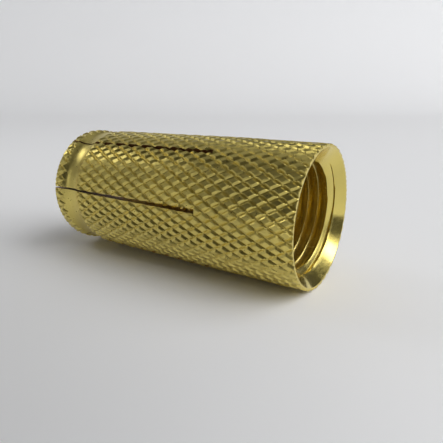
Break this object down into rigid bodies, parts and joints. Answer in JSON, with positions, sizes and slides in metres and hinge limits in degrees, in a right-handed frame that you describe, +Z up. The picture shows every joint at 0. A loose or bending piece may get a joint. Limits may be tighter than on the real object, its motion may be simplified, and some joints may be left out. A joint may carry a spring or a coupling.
{
  "type": "knurled brass expansion anchor",
  "caption": "Knurled brass wall anchor with a countersunk threaded mouth and a sawn tail whose pinched leaves spread when the screw is driven in.",
  "frame": {"origin": "centre of the open mouth, in the plane of its rim, on the anchor's axis", "axes": "+X along the axis out of the mouth, towards the room when the anchor is in a wall; +Z up; the sawn tail is at -X"},
  "size_m": [0.0415, 0.0194, 0.0194],
  "materials": {
    "collar_brass": "as machined, diamond knurled",
    "leaf_brass": "as machined, diamond knurled"
  },
  "bodies": {
    "collar": {"threaded_collar": "collar_brass"},
    "leaf_1": {"expansion_leaf_1": "leaf_brass"},
    "leaf_2": {"expansion_leaf_2": "leaf_brass"},
    "leaf_3": {"expansion_leaf_3": "leaf_brass"},
    "leaf_4": {"expansion_leaf_4": "leaf_brass"},
    "leaf_5": {"expansion_leaf_5": "leaf_brass"},
    "leaf_6": {"expansion_leaf_6": "leaf_brass"}
  },
  "joints": [
    {"name": "leaf_1_opening", "type": "hinge", "parent": "collar", "child": "leaf_1", "pos_m": [-0.01375, -0.00709, 0.00459], "axis": [0, 0.5432, 0.8396], "range_deg": [0, 1.8]},
    {"name": "leaf_2_opening", "type": "hinge", "parent": "collar", "child": "leaf_2", "pos_m": [-0.01375, 0.00016, 0.00844], "axis": [0, 0.9998, -0.0192], "range_deg": [0, 1.8]},
    {"name": "leaf_3_opening", "type": "hinge", "parent": "collar", "child": "leaf_3", "pos_m": [-0.01375, 0.00763, 0.00361], "axis": [0, 0.4274, -0.9041], "range_deg": [0, 1.8]},
    {"name": "leaf_4_opening", "type": "hinge", "parent": "collar", "child": "leaf_4", "pos_m": [-0.01375, 0.00709, -0.00459], "axis": [0, -0.5432, -0.8396], "range_deg": [0, 1.8]},
    {"name": "leaf_5_opening", "type": "hinge", "parent": "collar", "child": "leaf_5", "pos_m": [-0.01375, -0.00016, -0.00844], "axis": [0, -0.9998, 0.0192], "range_deg": [0, 1.8]},
    {"name": "leaf_6_opening", "type": "hinge", "parent": "collar", "child": "leaf_6", "pos_m": [-0.01375, -0.00763, -0.00361], "axis": [0, -0.4274, 0.9041], "range_deg": [0, 1.8]}
  ],
  "couplings": [
    {"joint": "leaf_2_opening", "follows": "leaf_1_opening", "ratio": 1},
    {"joint": "leaf_3_opening", "follows": "leaf_1_opening", "ratio": 1},
    {"joint": "leaf_4_opening", "follows": "leaf_1_opening", "ratio": 1},
    {"joint": "leaf_5_opening", "follows": "leaf_1_opening", "ratio": 1},
    {"joint": "leaf_6_opening", "follows": "leaf_1_opening", "ratio": 1}
  ]
}
